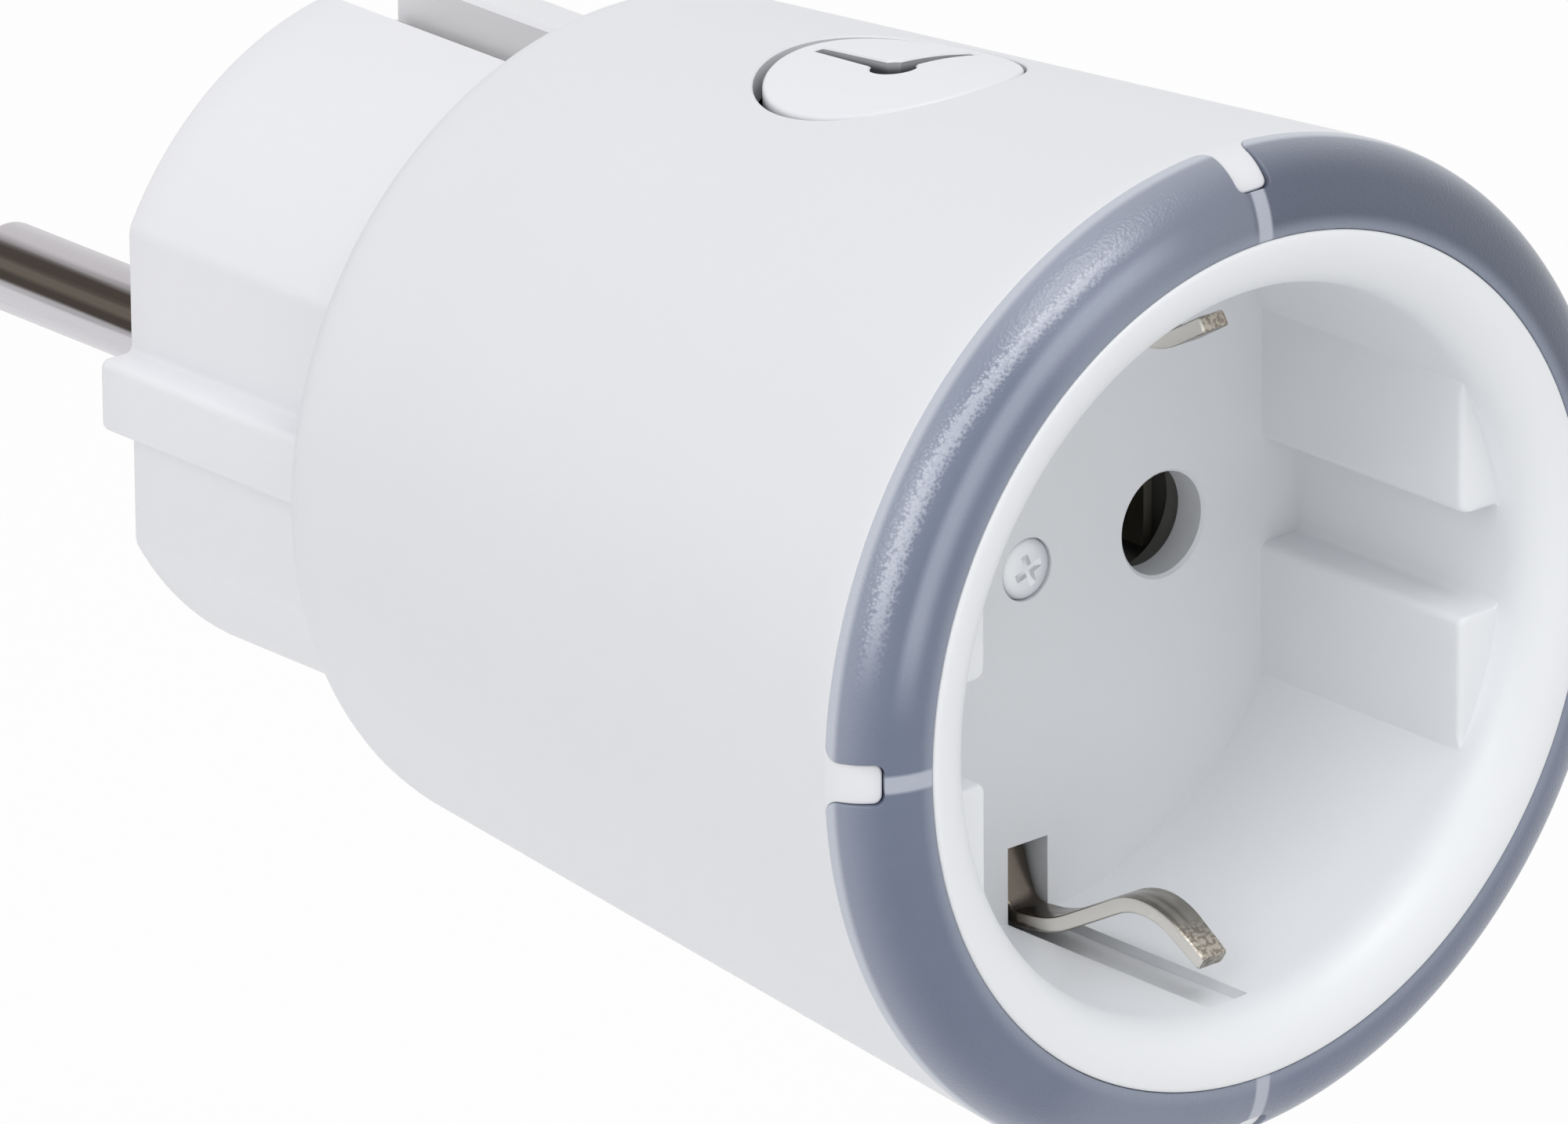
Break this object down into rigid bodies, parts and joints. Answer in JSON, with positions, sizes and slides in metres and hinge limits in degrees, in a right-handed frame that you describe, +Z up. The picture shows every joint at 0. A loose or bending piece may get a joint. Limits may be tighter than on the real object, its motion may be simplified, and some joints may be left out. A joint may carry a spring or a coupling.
{
  "type": "plug-in timer switch",
  "caption": "Round plug-in timer switch: tapered white housing, socket with earth clips at the front, light ring, push button on top and a two-pin plug at the back.",
  "frame": {"origin": "middle of the plug's end face, between its two pins", "axes": "+Y out of the plug's end face, along the pins, towards the wall socket; +Z up, towards the push button; +X to the right of someone who faces the front socket"},
  "size_m": [0.0534, 0.0883, 0.0534],
  "materials": {
    "housing_plastic": "satin",
    "plug_plastic": "satin",
    "socket_plastic": "satin",
    "button_plastic": "satin",
    "ring_plastic": "translucent satin",
    "baffle_plastic": "satin",
    "lamp_lens": "clear",
    "nickel": "satin nickel plate",
    "spring_bronze": "bright",
    "circuit_board": "solder mask",
    "black_plastic": "satin",
    "relay_plastic": "satin",
    "soft_iron": "bare",
    "copper_winding": "varnished",
    "capacitor_plastic": "satin",
    "can_sleeve": "sleeve",
    "varistor_coating": "satin",
    "fuse_body": "satin",
    "wire_sleeve": "satin",
    "screw_steel": "zinc plate"
  },
  "bodies": {
    "switch": {"housing_shell": "housing_plastic", "plug_base": "plug_plastic", "socket_insert": "socket_plastic", "light_ring": "ring_plastic", "light_baffle": "baffle_plastic", "led_board": "circuit_board", "leds": "lamp_lens", "led_leads": "wire_sleeve", "plug_pin_right": "nickel", "plug_pin_left": "nickel", "bus_bar_right": "spring_bronze", "bus_bar_left": "spring_bronze", "earth_bracket": "nickel", "contact_right": "spring_bronze", "contact_left": "spring_bronze", "contact_carrier": "socket_plastic", "centre_screw": "screw_steel", "button_board": "circuit_board", "switch_body": "black_plastic", "main_board": "circuit_board", "board_screws": "screw_steel", "relay_base": "black_plastic", "relay_cover": "relay_plastic", "relay_yoke": "soft_iron", "relay_coil": "copper_winding", "relay_fixed_contact": "spring_bronze", "film_capacitor": "capacitor_plastic", "smoothing_capacitor": "can_sleeve", "varistor": "varistor_coating", "fuse": "fuse_body", "timer_chip": "black_plastic"},
    "button": {"button_cap": "button_plastic"},
    "plunger": {"switch_plunger": "black_plastic"},
    "clip_top": {"earth_clip_top": "nickel"},
    "clip_bottom": {"earth_clip_bottom": "nickel"},
    "armature": {"relay_armature": "soft_iron", "relay_blade": "spring_bronze"}
  },
  "joints": [
    {"name": "button_press", "type": "slide", "parent": "switch", "child": "button", "axis": [0, 0, -1], "range_m": [0, 0.0004], "stiffness_N_per_m": 2000},
    {"name": "plunger_press", "type": "slide", "parent": "switch", "child": "plunger", "axis": [0, 0, -1], "range_m": [0, 0.0004]},
    {"name": "clip_top_spread", "type": "hinge", "parent": "switch", "child": "clip_top", "pos_m": [0, -0.04875, 0.0126], "axis": [-1, 0, 0], "range_deg": [0, 5], "stiffness_Nm_per_rad": 0.3},
    {"name": "clip_bottom_spread", "type": "hinge", "parent": "switch", "child": "clip_bottom", "pos_m": [0, -0.04875, -0.0126], "axis": [1, 0, 0], "range_deg": [0, 5], "stiffness_Nm_per_rad": 0.3},
    {"name": "relay_swing", "type": "hinge", "parent": "switch", "child": "armature", "pos_m": [0.0085, -0.0173, 0.0024], "axis": [-1, 0, 0], "range_deg": [0, 3.5], "stiffness_Nm_per_rad": 0.02}
  ],
  "couplings": [
    {"joint": "plunger_press", "follows": "button_press", "ratio": 1}
  ]
}
